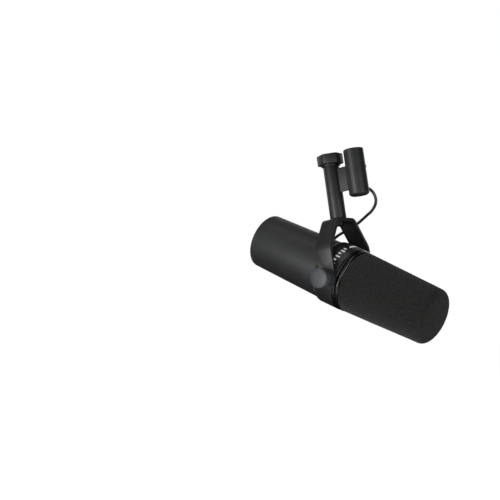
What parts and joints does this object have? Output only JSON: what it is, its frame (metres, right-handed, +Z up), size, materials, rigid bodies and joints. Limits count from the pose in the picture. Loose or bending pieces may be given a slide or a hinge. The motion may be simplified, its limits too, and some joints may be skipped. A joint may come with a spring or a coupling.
{
  "type": "broadcast microphone",
  "caption": "End-address microphone with foam windscreen and long rear can, tilting in a bent-strip yoke that hangs from a captive stand nut beside its connector housing.",
  "frame": {"origin": "mouth of the stand thread, at the top of the captive nut on the stem's axis", "axes": "+Z up along the stem, +X the way the head faces, +Y to the head's left"},
  "size_m": [0.1855, 0.091, 0.1789],
  "materials": {
    "satin_black": "satin black powder coat",
    "can_grey": "satin charcoal enamel",
    "knob_grey": "satin grey moulded plastic",
    "gloss_black": "glossy black",
    "foam_black": "open-cell foam, matt",
    "rubber_black": "matt rubber",
    "steel": "bright plated steel",
    "dark_steel": "black oxide",
    "brass": "turned brass",
    "copper": "enamelled copper wire",
    "black_plastic": "moulded plastic",
    "board_green": "solder mask",
    "film": "thin film"
  },
  "bodies": {
    "hanger": {"yoke_bracket": "satin_black", "stem_tube": "satin_black", "nut_retaining_ring": "dark_steel", "stem_screw": "dark_steel", "stem_washer": "dark_steel", "connector_web": "satin_black", "connector_housing": "satin_black", "connector_insert": "black_plastic", "connector_screw": "steel", "connector_pin_1": "steel", "connector_pin_2": "steel", "connector_pin_3": "steel", "lead_gland": "rubber_black", "lead": "rubber_black", "pivot_washer_far": "black_plastic", "pivot_washer_near": "black_plastic", "outer_washer_far": "rubber_black", "outer_washer_near": "rubber_black"},
    "stand_nut": {"captive_nut": "satin_black"},
    "far_knob": {"knob_far": "knob_grey", "stud_far": "steel"},
    "near_knob": {"knob_near": "knob_grey", "stud_near": "steel"},
    "head": {"rear_can": "can_grey", "front_collar": "satin_black", "coupling_ring": "dark_steel", "lip_ring": "gloss_black", "clamp_ring": "gloss_black", "grille_cage": "dark_steel", "rear_plate": "satin_black", "circuit_board": "board_green", "transformer": "dark_steel", "capsule_shell": "dark_steel", "resonator_cap": "black_plastic", "diaphragm": "film", "voice_coil": "copper", "magnet_cup": "steel", "magnet": "dark_steel", "pole_piece": "steel", "humbucking_coil": "copper", "shock_ring_front": "rubber_black", "shock_ring_rear": "rubber_black", "head_grommet": "rubber_black", "pivot_bush_far": "brass", "pivot_bush_near": "brass", "plate_screw_far": "steel", "plate_screw_near": "steel", "post_far": "brass", "post_near": "brass", "switch_body_far": "black_plastic", "switch_body_near": "black_plastic"},
    "windscreen": {"windscreen": "foam_black"},
    "far_slider": {"slider_far": "black_plastic"},
    "near_slider": {"slider_near": "black_plastic"}
  },
  "joints": [
    {"name": "nut_turn", "type": "hinge", "parent": "hanger", "child": "stand_nut", "pos_m": [0, 0, -0.005], "axis": [0, 0, 1], "continuous": true},
    {"name": "head_tilt", "type": "hinge", "parent": "hanger", "child": "head", "pos_m": [0, 0, -0.112], "axis": [0, 1, 0], "range_deg": [-72, 15], "deforming": ["lead"]},
    {"name": "far_knob_turn", "type": "hinge", "parent": "hanger", "child": "far_knob", "pos_m": [0, 0.04, -0.112], "axis": [0, 1, 0], "continuous": true},
    {"name": "near_knob_turn", "type": "hinge", "parent": "hanger", "child": "near_knob", "pos_m": [0, -0.04, -0.112], "axis": [0, -1, 0], "continuous": true},
    {"name": "windscreen_pull", "type": "slide", "parent": "head", "child": "windscreen", "axis": [0.8625, 0, -0.506], "range_m": [0, 0.08]},
    {"name": "far_slider_slide", "type": "slide", "parent": "head", "child": "far_slider", "axis": [0, 1, 0], "range_m": [0, 0.0026]},
    {"name": "near_slider_slide", "type": "slide", "parent": "head", "child": "near_slider", "axis": [0, 1, 0], "range_m": [0, 0.0026]}
  ]
}
